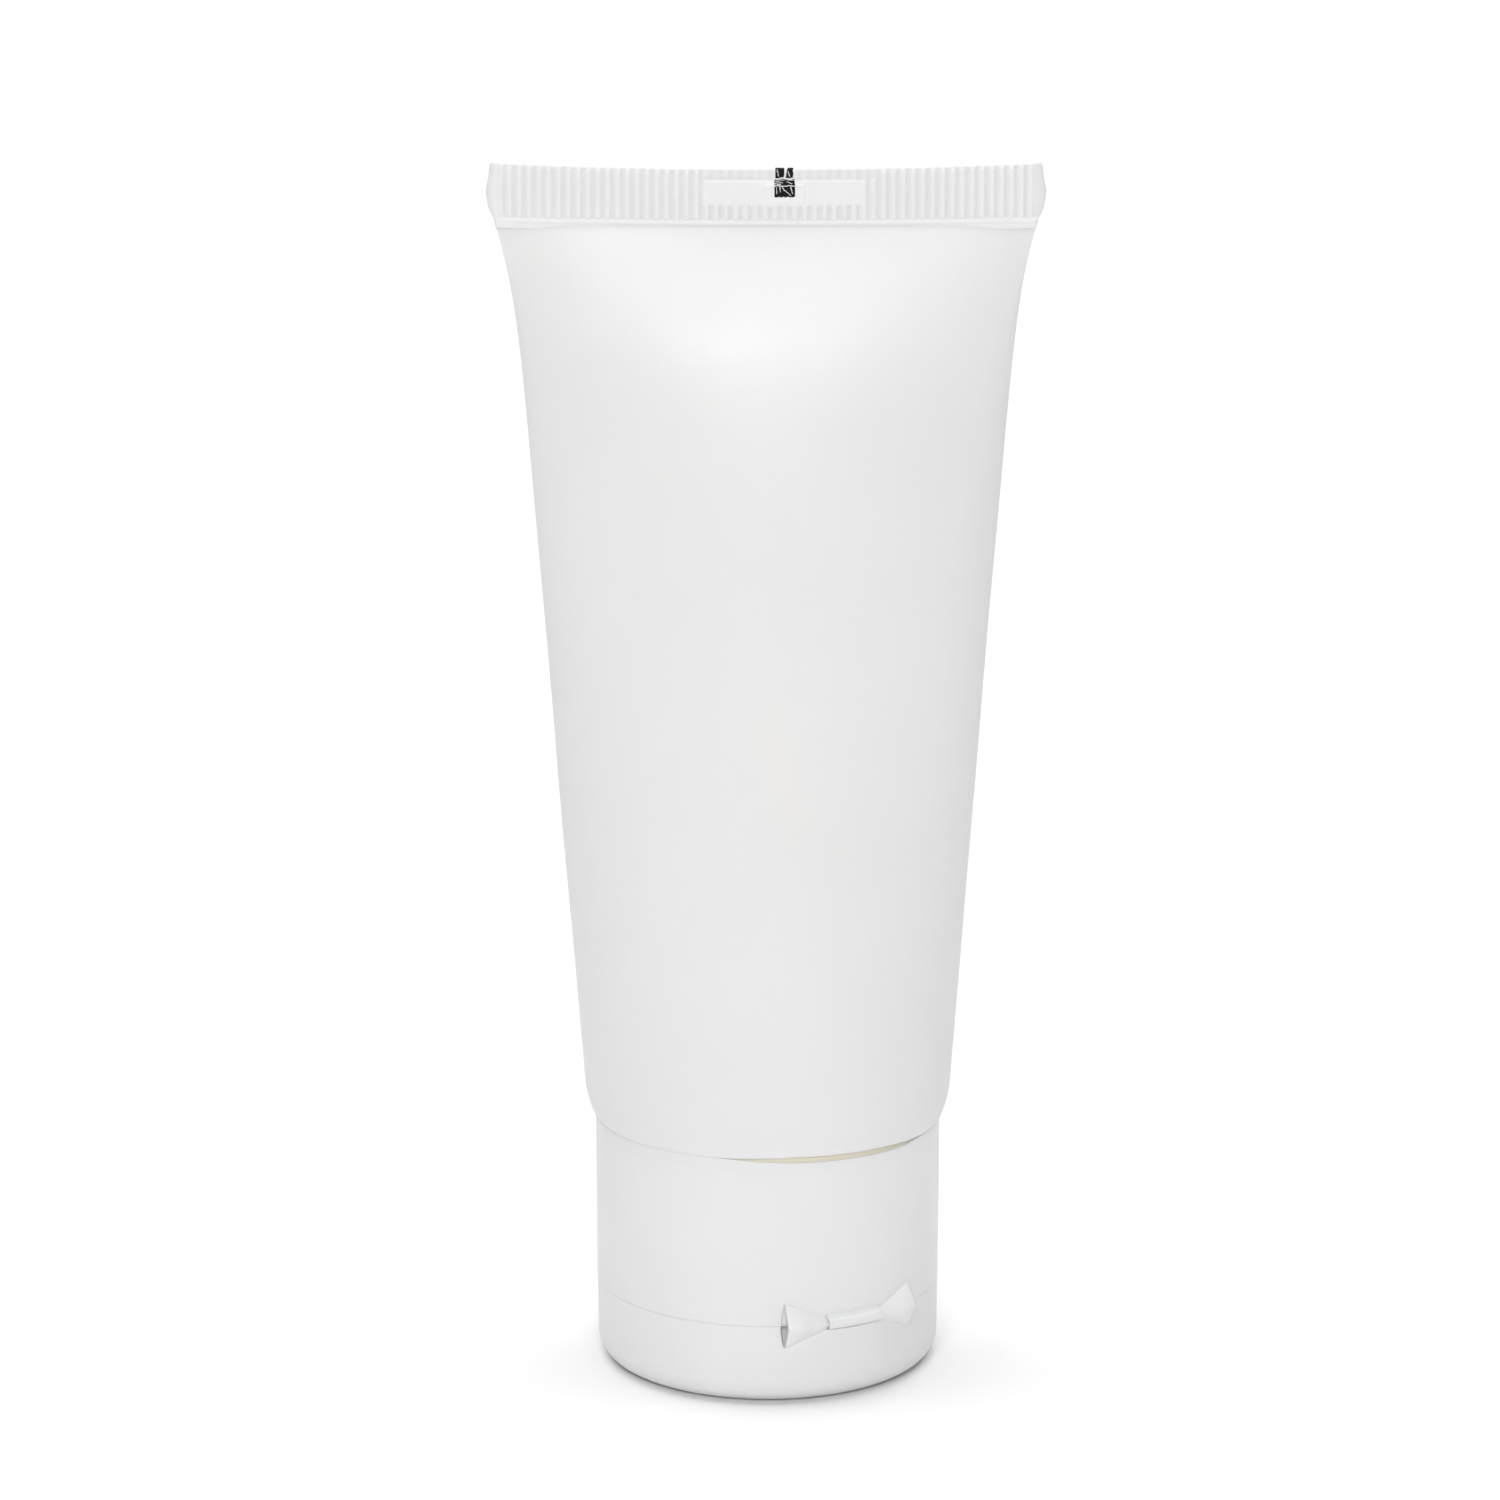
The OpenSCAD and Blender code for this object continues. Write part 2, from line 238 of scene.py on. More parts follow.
def ink_material():
    """Matt black print, greyer in patches where it has worn."""
    material, nodes, links, shader = new_material("cracked_ink")
    coords = nodes.new("ShaderNodeTexCoord").outputs["Object"]
    patches = noise_node(nodes, links, coords, 4500, 4, 0.7)
    worn = remap(nodes, links, patches, 0.55, 0.7, 0, 1)
    blacks = mix_colours(nodes, links, worn, (0.004, 0.004, 0.004), (0.05, 0.05, 0.05))
    links.new(blacks, shader.inputs["Base Color"])
    links.new(remap(nodes, links, patches, 0.3, 0.7, 0.5, 0.7), shader.inputs["Roughness"])
    shader.inputs["Specular IOR Level"].default_value = 0.15
    links.new(bump(nodes, links, patches, 0.02 * MM, 0.6), shader.inputs["Normal"])
    return material


def cream_material():
    material, nodes, links, shader = new_material("cream")
    coords = nodes.new("ShaderNodeTexCoord").outputs["Object"]
    swirl = noise_node(nodes, links, coords, 220, 3)
    whites = mix_colours(nodes, links, swirl, (0.90, 0.89, 0.86), (0.94, 0.935, 0.92))
    links.new(whites, shader.inputs["Base Color"])
    links.new(remap(nodes, links, swirl, 0.3, 0.7, 0.22, 0.34), shader.inputs["Roughness"])
    links.new(bump(nodes, links, swirl, 0.3 * MM, 0.5), shader.inputs["Normal"])
    shader.inputs["Subsurface Weight"].default_value = 0.3
    shader.inputs["Subsurface Scale"].default_value = 1 * MM
    return material


CLOSURE_WHITE = (0.765, 0.767, 0.770)

SLEEVE = moulded_plastic(
    "sleeve_film", (0.752, 0.752, 0.749), (0.738, 0.738, 0.734),
    roughness=0.42, grain_mm=0.25, grain_depth_mm=0.010, softness=0.2, stain_or_painted_shade=warm_smudge,
)
# The crimped film gets painted shade in its grooves.
CRIMP = moulded_plastic(
    "crimped_film", (0.79, 0.79, 0.787), (0.78, 0.78, 0.776),
    roughness=0.42, grain_mm=0.25, grain_depth_mm=0.003, softness=0.08, stain_or_painted_shade=pressed_tone,
)
CLOSURE = moulded_plastic(
    "closure_plastic", CLOSURE_WHITE, (0.750, 0.752, 0.756),
    roughness=0.36, grain_mm=0.16, grain_depth_mm=0.008, softness=0.15,
)
HEAD = moulded_plastic(
    "head_plastic", (0.79, 0.76, 0.69), (0.77, 0.74, 0.67),
    roughness=0.5, grain_mm=0.3, grain_depth_mm=0.02, softness=0.2,
)
INK = ink_material()
CREAM = cream_material()


# ---- Sleeve ----

TUBE_R = 17.7
SPREAD_Z = 26.0
SLEEVE_TOP_Z = SEAL_Z - 0.2
SIDE_SPREAD = 6.95
SEAL_FLARE = 1.5
SEAL_HALF_DEPTH = 0.3
WEDGE_SLOPE = 0.68
WEDGE_BLEND = 7
DENT = 0.10
EDGE_H = 3.5
EDGE_IN = 1.05
BOW = 1.3
BOW_HALF_W = 27
FILM_T = 0.5
CREAM_TOP_Z = 111.0

# An oval with half axes a and b has a quarter girth of about (a ** p + b ** p) ** (1 / p) with this p.
HOELDER = math.log(2) / math.log(math.pi / 2)

# The sleeve's lower edge and the joint below it aren't quite level.
# Each knot is (azimuth in degrees from the front towards +X, height). EDGE_Z is the edge's nominal height.
EDGE_Z = 25.0
EDGE_KNOTS = (
    (-180, 25.0), (-90, 25.1), (-51, 25.18), (-24, 25.28), (-12, 25.38),
    (0, 25.5), (8, 25.53), (20, 25.46), (30, 25.38), (42, 25.24),
    (53, 25.05), (62, 24.9), (75, 24.84), (90, 24.86), (180, 25.0),
)
JOINT_KNOTS = (
    (-180, 25.12), (-90, 25.24), (-51, 25.32), (-24, 25.4), (-14, 25.36),
    (-4, 25.22), (7, 25.06), (20, 24.94), (30, 24.86), (42, 24.76),
    (53, 24.72), (60, 24.86), (68, 24.98), (90, 25.0), (180, 25.12),
)


def rise(z):
    """Share of the way from where the sleeve starts to widen up to its top edge."""
    return max(0.0, (z - SPREAD_Z) / (SLEEVE_TOP_Z - SPREAD_Z))


def half_width(t):
    """Half width of the sleeve at a share t of its rise."""
    return TUBE_R + SIDE_SPREAD * t + SEAL_FLARE * t ** 15


def half_depth(t):
    """Half depth of an oval that about keeps the round end's girth, held inside a wedge below the seal."""
    round_end = math.pi * TUBE_R / 2
    flattest = SEAL_HALF_DEPTH ** HOELDER
    flat_end = (half_width(1) ** HOELDER + flattest) ** (1 / HOELDER)
    girth = round_end + (flat_end - round_end) * t ** 3
    oval = max(flattest, girth ** HOELDER - half_width(t) ** HOELDER) ** (1 / HOELDER)
    wedge = SEAL_HALF_DEPTH + WEDGE_SLOPE * (1 - t) * (SLEEVE_TOP_Z - SPREAD_Z)
    return (oval ** -WEDGE_BLEND + wedge ** -WEDGE_BLEND) ** (-1 / WEDGE_BLEND)


def bowed(x, t):
    """How far the flattened end bows towards the front at x."""
    return -BOW * t ** 8 * (1 - (x / BOW_HALF_W) ** 2)


def lean(t):
    """Sideways drift of the sleeve towards its top."""
    return -0.2 * t


def edge_height(azimuth, knots):
    """Height of an edge that isn't quite level, at an azimuth from the front towards +X."""
    return steps_between(math.degrees(azimuth), knots)


def sleeve_point(z, angle, inset):
    """Point of the sleeve's skin. angle runs from +X towards +Y, inset is how far inside the outer skin."""
    t = min(1.0, rise(z))
    drop = min(1.0, max(0.0, (EDGE_Z + EDGE_H - z) / EDGE_H))
    curl = EDGE_IN * (1 - math.sqrt(1 - drop * drop)) + inset
    a = half_width(t) - curl
    b = half_depth(t) - curl
    s = math.sin(angle)
    x = a * math.cos(angle)
    y = b * math.copysign(abs(s) ** (1 + 0.35 * t ** 3), s)
    swell = noise.noise(Vector((x * 0.06, y * 0.06, z * 0.045)))
    dent = DENT * swell * smooth(z, 32, 50) * (1 - smooth(z, 104, 113))
    azimuth = math.atan2(x, -y)
    lifted = z + (edge_height(azimuth, EDGE_KNOTS) - EDGE_Z) * drop
    return (x + lean(t) + dent * x / a, y + bowed(x, t) + dent * y / a, lifted)


def make_sleeve():
    """Film from inside its lower lip, round the lip and up to the seal, with closer rows where it bends."""
    angles = [2 * math.pi * i / 288 for i in range(288)]
    inner = [(EDGE_Z + h, FILM_T) for h in (3, 1.5, 0.6, 0.15)]
    lip = [(EDGE_Z + 0.02, FILM_T * 0.85), (EDGE_Z, FILM_T * 0.5), (EDGE_Z + 0.002, FILM_T * 0.2)]
    curled = [(EDGE_Z + EDGE_H * (1 - math.cos(a)), 0) for a in spread(0.08, math.pi / 2, 18)]
    middle = [(z, 0) for z in spread(EDGE_Z + EDGE_H + 0.8, SLEEVE_TOP_Z - 6, 70)]
    top = [(SLEEVE_TOP_Z - 6 * (1 - i / 60) ** 1.8, 0) for i in range(1, 61)]
    rows = [[sleeve_point(z, a, inset) for a in angles] for z, inset in inner + lip + curled + middle + top]
    return skin("sleeve_film", rows, SLEEVE)


def make_cream():
    """Cream that fills the neck, the shoulder and the sleeve, with some air left below the seal."""
    angles = [2 * math.pi * i / 144 for i in range(144)]
    rows = []
    for r, z in ((0.02, 13.2), (6.84, 13.2), (6.85, 13.25), (6.85, 23.1), (14.8, 26.6)):
        rows.append([(r * math.cos(a), r * math.sin(a), z) for a in angles])
    for z in spread(29.5, CREAM_TOP_Z, 60):
        rows.append([sleeve_point(z, a, FILM_T + 0.15) for a in angles])
    rows.append([(lean(1), bowed(0, rise(CREAM_TOP_Z)), CREAM_TOP_Z)] * len(angles))
    return skin("cream", rows, CREAM)


# ---- Crimped end ----

RIB_PITCH = 0.945
RIB_DEPTH = 0.22
RIB_ZONE = 25.2
COLUMN_END = 26
# How far the grey painted into the crimp's grooves as shade lies to one side of each groove.
SHADE_OFFSET = 0.1
PANEL = (-6.05, 9.45)
PANEL_Z = (SEAL_Z + 1.84, SEAL_Z + 4.24)

# The ridge along the foot is as high as a rib.
FOOT_LEVEL = 1.0

# The band's end as (share of its height, how far it stands out past its foot).
OUTLINE = ((0, 0), (0.2, 0.52), (0.42, 0.74), (0.52, 0.74), (0.72, 0.52), (0.93, 0.38), (0.97, 0.25), (1, 0))


def crimp_half_width(h):
    """Half width of the crimped band at height h above its foot."""
    if h < 0:
        return half_width(1) + 0.3 * h
    return half_width(1) + steps_between(h / SEAL_H, OUTLINE)


def crimp_x(column, h):
    """Columns stay upright in the ribbed zone and follow the outline outside it."""
    if abs(column) <= RIB_ZONE:
        return column
    share = (abs(column) - RIB_ZONE) / (COLUMN_END - RIB_ZONE)
    return math.copysign(RIB_ZONE + share * (crimp_half_width(h) - RIB_ZONE), column)


def rib(x):
    """Rounded rib, from 0 in a groove to 1 on its crown."""
    return 0.5 + 0.5 * math.cos(2 * math.pi * x / RIB_PITCH)


def inside(value, limits, edge):
    """1 between the limits, falling smoothly to 0 within edge outside them."""
    low, high = limits
    return smooth(value, low - edge, low) * (1 - smooth(value, high, high + edge))


def crimp_relief(x, z, front):
    """Height of the pattern that the jaws press in, above the grooves: ribs, a ridge at the foot and, in
    front, the panel. make_crimp stores painted shade where it is low, a little to one side.
    """
    h = z - SEAL_Z
    begun = smooth(h, 0.12, 0.5)
    crown = rib(x) * (1 - smooth(abs(x), RIB_ZONE - 0.3, RIB_ZONE))
    end_ridge = 0.8 * inside(abs(x), (RIB_ZONE + 0.1, RIB_ZONE + 0.3), 0.25)
    crown = max(crown, end_ridge)
    relief = max(crown * begun, FOOT_LEVEL * inside(h, (0.02, 0.14), 0.36))
    relief *= 1 - 0.75 * smooth(h, SEAL_H - 0.6, SEAL_H - 0.1)
    if not front:
        return RIB_DEPTH * relief
    above = inside(x, (PANEL[0], PANEL[1] + 1), 0.4) * smooth(z, PANEL_Z[1] - 0.1, PANEL_Z[1] + 0.1)
    relief *= 1 - 0.6 * above
    panel = inside(x, PANEL, 0.12) * inside(z, PANEL_Z, 0.1)
    relief = relief * (1 - panel) + 0.95 * panel
    lozenge = inside(x, (-0.1, 3.6), 0.15) * inside(z, (PANEL_Z[0] + 0.3, PANEL_Z[1] - 0.4), 0.15)
    middle = inside(x, (0.2, 3.3), 0.15) * inside(z, (PANEL_Z[0] + 0.6, PANEL_Z[1] - 0.7), 0.15)
    frame_line = lozenge * (1 - middle)
    return RIB_DEPTH * (relief + 0.2 * lozenge + 0.25 * frame_line)


def crimp_point(column, z, front, lift=0.0):
    """Point of the band's front or back face, lift above its skin."""
    h = z - SEAL_Z
    x = crimp_x(column, h)
    end = crimp_half_width(h) - abs(x)
    rounded = math.sqrt(max(0.0, 1 - (1 - min(1.0, end / 0.45)) ** 2))
    top = 1 - 0.65 * smooth(h, SEAL_H - 0.2, SEAL_H) ** 2
    half = (SEAL_HALF_T + crimp_relief(x, z, front)) * top * max(0.12, rounded) + lift
    share = h / SEAL_H
    sag = (0.27 - 0.31 * (1 - (x / BOW_HALF_W) ** 2)) * max(0.0, share)
    ripple = 0.035 * noise.noise(Vector((x * 0.9, 0, 3))) * smooth(h, SEAL_H - 1, SEAL_H)
    y = bowed(x, 1) + (-half if front else half)
    return (x + lean(1), y, z + sag + ripple)


def crimp_columns():
    """Columns from end to end, about ten to each rib and closer at the rounded ends."""
    fine = spread(-RIB_ZONE, RIB_ZONE, round(2 * RIB_ZONE / RIB_PITCH * 10))
    ends = spread(RIB_ZONE, COLUMN_END, 12)[1:]
    return [-e for e in reversed(ends)] + fine + ends


def make_crimp():
    """Flat ribbed band. It stores a share of painted shade that lies a little to one side of each groove, by
    SHADE_OFFSET.
    """
    columns = crimp_columns()
    low = spread(SEAL_Z - 0.8, SEAL_Z - 0.4, 4) + spread(SEAL_Z - 0.36, SEAL_Z + 0.4, 20)
    zs = low + spread(SEAL_Z + 0.45, OVERALL_H - 0.15, 40) + [OVERALL_H - 0.09, OVERALL_H - 0.04, OVERALL_H]
    rows = []
    for z in zs:
        front = [crimp_point(c, z, True) for c in columns]
        back = [crimp_point(c, z, False) for c in reversed(columns)]
        rows.append(front + back)
    width = len(rows[0])
    points = [p for row in rows for p in row]
    faces = row_faces(len(rows), width, True)
    last = (len(rows) - 1) * width
    for i in range(len(columns) - 1):
        faces.append((last + i, last + i + 1, last + width - 2 - i, last + width - 1 - i))
    crimp = build("crimped_end", points, faces, CRIMP)
    # Share of painted groove shade at each point, which the crimped film's material reads.
    pressed = crimp.data.attributes.new("pressed", "FLOAT", "POINT")
    for r, z in enumerate(zs):
        for c, x in enumerate(columns + columns[::-1]):
            depth = 1 - crimp_relief(x + SHADE_OFFSET, z, c < len(columns)) / RIB_DEPTH
            pressed.data[r * width + c].value = depth * smooth(z, SEAL_Z - 0.4, SEAL_Z - 0.1)
    return crimp


# ---- Registration mark ----

MARK_X = (0.61, 2.63)
MARK_H = 2.86
INK_LIFT = 0.012


def near_line(x, z, start, end, half):
    """True within half of the straight crack from start to end."""
    along = Vector((end[0] - start[0], end[1] - start[1]))
    offset = Vector((x - start[0], z - start[1]))
    share = min(1.0, max(0.0, offset.dot(along) / along.length_squared))
    return (offset - along * share).length < half


def is_inked(x, z):
    """Whether the mark's ink is still there. x is from the mark's left edge, z from its top, downwards."""
    grain = noise.noise(Vector((x * 5, z * 5, 0)))
    fine = noise.noise(Vector((x * 14, z * 14, 7)))
    width = MARK_X[1] - MARK_X[0]
    left = 0.03 * grain + (0.09 if z < 0.95 else 0.0)
    right = width - 0.04 * grain - (0.24 if z < 0.95 else 0.08 if z < 1.5 else 0.0)
    if not left < x < right or z > MARK_H - 0.04 + 0.05 * grain:
        return False
    wave = 0.05 * math.sin(5.5 * x) + 0.03 * fine
    crossing = abs(z - 1.03 - wave) < 0.085 or abs(z - 1.7 + 0.5 * wave) < 0.05
    between_bars = z < 1.0 and abs(x - 1.1 + 0.12 * z - 0.03 * grain) < 0.14 - 0.07 * z
    cracks = (
        ((0.2, 1.85), (0.22, 2.45)),
        ((0.5, 1.75), (0.58, 2.3)),
        ((0.75, 1.8), (0.95, 2.2)),
        ((0.95, 2.1), (1.6, 2.7)),
        ((1.55, 1.8), (1.75, 2.5)),
        ((0.1, 1.25), (0.8, 1.4)),
        ((0.0, 1.5), (0.6, 1.55)),
        ((1.2, 1.3), (1.7, 1.5)),
        ((0.25, 0.1), (0.4, 0.8)),
        ((1.3, 0.3), (1.45, 0.8)),
    )
    cracked = any(near_line(x + 0.03 * fine, z + 0.03 * grain, a, b, 0.035) for a, b in cracks)
    return not (crossing or between_bars or cracked)


def make_mark():
    """Thin ink draped over the crimped band, cell by cell, left out where it has cracked."""
    cell = 0.045
    across = int((MARK_X[1] - MARK_X[0]) / cell)
    down = int(MARK_H / cell)
    points = []
    for j in range(down + 1):
        for i in range(across + 1):
            column = MARK_X[0] + i * cell - lean(1)
            points.append(crimp_point(column, OVERALL_H - j * cell, True, INK_LIFT))
    faces = []
    for j in range(down):
        for i in range(across):
            if is_inked((i + 0.5) * cell, (j + 0.5) * cell):
                a = j * (across + 1) + i
                faces.append((a, a + across + 1, a + across + 2, a + 1))
    return build("registration_ink", points, faces, INK)


# ---- Closure ----

WING_ROOT = 2.7
WING_CORNER = 6.85
WING_END = 7.15
WING_ROOT_HALF_H = 0.6
WING_HALF_H = 2.5
WING_T = 0.32
STRAP_R = 0.6
STRAP_OUT = 0.1

# The base's wall widens by DRAFT over DRAFT_H from its foot upwards.
DRAFT = 0.1
DRAFT_H = 16.6


def closure_angles():
    """Angles round the closure, in steps of 2 degrees, and ten times finer round the hinge."""
    centre = math.degrees(HINGE_AZIMUTH)
    near = spread(centre - 29, centre + 29, 290)
    far = spread(centre + 29, centre + 331, 151)
    return [math.radians(a) for a in near + far[1:-1]]


def hinge_offset(azimuth, radius):
    """Distance from the hinge's middle along its axis of a point on the wall."""
    turn = (azimuth - HINGE_AZIMUTH + math.pi) % (2 * math.pi) - math.pi
    return radius * math.sin(turn) if abs(turn) < math.pi / 2 else 99.0


def wing_half_height(v):
    """Half height of a wing, which widens from its root to its free end like a bow tie."""
    share = (abs(v) - WING_ROOT) / (WING_END - WING_ROOT)
    return WING_ROOT_HALF_H + (WING_HALF_H - WING_ROOT_HALF_H) * max(0.0, share) ** 1.15


def pocket(v, h, depth):
    """Depth of the hollow behind a wing at v along the hinge and h above its axis."""
    if abs(v) < WING_ROOT or abs(v) > WING_END + 0.2 or abs(h) > WING_HALF_H:
        return 0.0
    end = WING_CORNER + 0.05 + 0.32 * (1 - (h / WING_HALF_H) ** 2)
    inside_end = 1 - smooth(abs(v), end - 0.1, end)
    reach = wing_half_height(min(abs(v), WING_END)) - 0.1
    inside_height = 1 - smooth(abs(h), reach - 0.25, reach)
    return depth * inside_end * inside_height * smooth(abs(v), WING_ROOT, WING_ROOT + 1.5)


def strap_groove(v, h, radius):
    """How far the lid's wall is cut back behind the strap."""
    room = STRAP_R + STRAP_OUT + 0.03
    if abs(v) > WING_ROOT - 0.05 or abs(h) > room:
        return 0.0
    surface = math.sqrt(max(0.0, radius * radius - v * v))
    return max(0.0, surface - (HINGE_R - math.sqrt(room * room - h * h)))


def thumb_hollow(radius, height, azimuth):
    """Depth of the shallow hollow above the thumb tab, opposite the hinge."""
    turn = (azimuth - HINGE_AZIMUTH) % (2 * math.pi) - math.pi
    if abs(turn) > math.pi / 4:
        return 0.0
    across = radius * math.sin(turn) / 3.4
    up = (height - DECK_Z - 1.8) / 3.4
    return 0.8 * max(0.0, 1 - across * across - up * up)


def base_wall(radius, height, azimuth):
    """Outer wall of the closure's base, with the hollows behind the wings and for the thumb."""
    if radius < FOOT_R - 0.2:
        return radius, height
    behind_wing = pocket(hinge_offset(azimuth, radius), height - HINGE_Z, 0.12)
    return radius - behind_wing - thumb_hollow(radius, height, azimuth), height


def lid_wall(radius, height, azimuth):
    """Outer wall of the lid with the hollows behind the hinge."""
    if radius < LID_R - 0.3 or height < HINGE_Z - 4:
        return radius, height
    v = hinge_offset(azimuth, radius)
    h = height - HINGE_Z
    return radius - max(pocket(v, h, 0.95), strap_groove(v, h, radius)), height


def base_profile():
    """Section of the closure's base, anticlockwise from the foot of its outer wall."""
    rim_inner = RIM_R - SKIRT_T
    deck_top = 9.95
    beside_hinge = spread(DECK_Z + 0.03, DECK_Z + 2.7, 36)
    above_hinge = spread(DECK_Z + 2.9, CAP_TOP_Z - 0.04, 40)
    heights = beside_hinge + above_hinge + [CAP_TOP_Z - 0.004]
    wall = [(FOOT_R + DRAFT * (z - DECK_Z) / DRAFT_H, z) for z in heights]
    rim = [(RIM_R - 0.004, CAP_TOP_Z), (RIM_R - 0.7, CAP_TOP_Z)]
    rim += arc(rim_inner + 0.25, CAP_TOP_Z - 0.25, 0.25, 90, 180)
    skirt = [(rim_inner, z) for z in (22, 18, 14)] + arc(rim_inner - 0.4, deck_top + 0.4, 0.4, 0, -90, 5)
    collar_out = arc(10.5, deck_top + 0.3, 0.3, 270, 180, 4) + arc(9.8, 20.6, 0.4, 0, 90, 5)
    collar_in = [
        (8.95, 21), (8.55, 20.4), (8.55, 15.2), (9.3, 14.6), (9.3, 13.4), (8.55, 12.9), (8.55, deck_top),
    ]
    seal_ring = [(6.95, deck_top), (6.95, 12.6), (6.7, 13), (6.3, 13), (6.3, deck_top)]
    bore = [(3.4, deck_top), (3.4, DECK_Z)]
    step = arc(14.3, 7.45, 0.1, 180, 270, 3) + arc(14.85, 7.5, 0.15, 270, 360, 4) + [(15, DECK_Z)]
    foot = [(FOOT_R - 0.5, DECK_Z), (FOOT_R - 0.025, DECK_Z), (FOOT_R - 0.006, DECK_Z + 0.008)]
    return wall + rim + skirt + collar_out + collar_in + seal_ring + bore + [(14.2, DECK_Z)] + step + foot


def lid_profile():
    """Section of the lid, anticlockwise from the middle of its resting face."""
    foot_r = LID_R - 0.1
    inner_r = LID_R - SKIRT_T
    sole = [(0.02, 0.35), (11.6, 0.35), (12.0, 0.3), (12.3, 0.05), (12.5, 0)]
    fillet = arc(foot_r - 2.6, 2.6, 2.6, -90, 0, 22)
    slope = 0.1 / (LID_TOP_Z - 2.6)
    wall = [(foot_r + slope * (z - 2.6), z) for z in spread(2.9, 5.4, 6) + spread(5.5, LID_TOP_Z - 0.03, 36)]
    rim = [(LID_R - 0.006, LID_TOP_Z - 0.008), (LID_R - 0.025, LID_TOP_Z), (inner_r + 0.1, LID_TOP_Z)]
    bead = [(inner_r, LID_TOP_Z - 0.08), (inner_r - 0.1, LID_TOP_Z - 0.2), (inner_r - 0.15, LID_TOP_Z - 0.32),
            (inner_r - 0.1, LID_TOP_Z - 0.45), (inner_r, LID_TOP_Z - 0.62)]
    inside_wall = [(inner_r, 5)] + arc(inner_r - 1.6, 3.0, 1.6, 0, -90, 10)
    socket = arc(4.85, 1.7, 0.3, 270, 180, 4) + arc(4.4, 6.15, 0.15, 0, 90, 3)
    socket += arc(3.95, 6.1, 0.2, 90, 180, 3)
    floor = [(3.75, 1.4), (0.02, 1.4)]
    return sole + fillet + wall + rim + bead + inside_wall + socket + floor


def nozzle_profile():
    """Section of the nozzle, which fills the hole in the deck and points down into the lid."""
    outside = [(3.4, 10.1), (1.6, 10.1), (1.6, 9.05)]
    mouth = [(1.6, 5.8)] + arc(1.8, 5.8, 0.2, 180, 270, 5)
    lip = arc(2.9, 6.1, 0.5, 270, 360, 8)
    return outside + mouth + lip + [(3.4, 8.2)] + arc(3.7, 8.2, 0.3, 180, 90, 5) + [(3.7, 8.6), (3.4, 8.6)]


def plug_profile():
    """Section of the lid's pin, with a flared foot and a rounded tip."""
    flare = arc(2.0, 1.9, 0.5, 270, 180, 6)
    tip = arc(0.9, 7.25, 0.35, 0, 90, 6)
    return [(0.02, 1.3), (2.0, 1.3)] + flare + [(1.5, 5.6), (1.25, 7.3)] + tip + [(0.02, 7.6)]


def make_thumb_tab():
    """Rounded lip on the lid, opposite the hinge, that fades into the wall at both ends."""
    middle = HINGE_AZIMUTH + math.pi
    top = LID_TOP_Z
    rows = []
    for a in spread(middle - math.radians(15), middle + math.radians(15), 40):
        share = 1 - smooth(abs(a - middle), math.radians(10.5), math.radians(15))
        out = 0.12 + 0.73 * share
        section = [(LID_R - 0.3, top - 1.4), (LID_R, top - 1.4), (LID_R + out * 0.55, top - 0.85)]
        for share_out, below in ((0.9, 0.5), (1, 0.32), (0.97, 0.12), (0.85, 0.03), (0.7, 0)):
            section.append((LID_R + share_out * out, top - below))
        section += [(LID_R - 0.3, top)]
        rows.append([(r * math.sin(a), -r * math.cos(a), z) for r, z in reversed(section)])
    return skin("thumb_lip", rows, CLOSURE)


# ---- Bow-tie hinge ----

def hinge_point(v, out, h):
    """Point of the hinge: v along its axis, out from the closure's middle, h above the axis."""
    s, c = math.sin(HINGE_AZIMUTH), math.cos(HINGE_AZIMUTH)
    return (out * s + v * c, -out * c + v * s, HINGE_Z + h)


def strap_section(v):
    """Round bar, proud of the wall, that runs out upwards into the wall of the base."""
    reach = abs(v) / (WING_ROOT + 0.25)
    centre = HINGE_R + STRAP_OUT - 0.2 * reach ** 2
    wall = math.sqrt(FOOT_R * FOOT_R - v * v)
    section = []
    for a in spread(math.radians(-125), math.radians(50), 22):
        section.append((centre + STRAP_R * math.cos(a), STRAP_R * math.sin(a)))
    shoulder_out, shoulder_h = section[-1]
    for share in spread(0, 1, 10)[1:]:
        out = shoulder_out + (wall - 0.02 - shoulder_out) * smooth(share, -0.5, 1)
        section.append((out, shoulder_h + 0.6 * share))
    section += [(wall - 0.5, shoulder_h + 0.6), (centre - 0.5, 0)]
    return [hinge_point(v, out, h) for out, h in section]


def make_strap():
    """Middle strap of the bow-tie, a little longer than the gap between the wings."""
    rows = [strap_section(v) for v in spread(-WING_ROOT - 0.25, WING_ROOT + 0.25, 36)]
    return skin("hinge_bar", rows, CLOSURE)


def crease(w):
    """1 on the wing's crease at mid-height, 0 at its upper and lower edge, with two rounded slopes."""
    soft = 0.02
    roof = 1 - (math.sqrt(w * w + soft) - math.sqrt(soft)) / (math.sqrt(1 + soft) - math.sqrt(soft))
    return 0.85 * roof + 0.15 * (1 - abs(w) ** (2 if w > 0 else 5))


def wing_surface(share, w):
    """Outer face of a wing: share from its root to its free end, w from -1 on the lid to 1 on the base."""
    end = WING_CORNER + (WING_END - WING_CORNER) * crease(w)
    v = WING_ROOT - 0.35 + (end - WING_ROOT + 0.35) * share
    wall = math.sqrt(FOOT_R * FOOT_R - v * v)
    stand = 0.55 * (1 - smooth(share, 0, 0.6)) + 1.5 * smooth(share, 0.0, 0.9)
    return v, wall - 0.03 + stand * crease(w), wing_half_height(v) * w


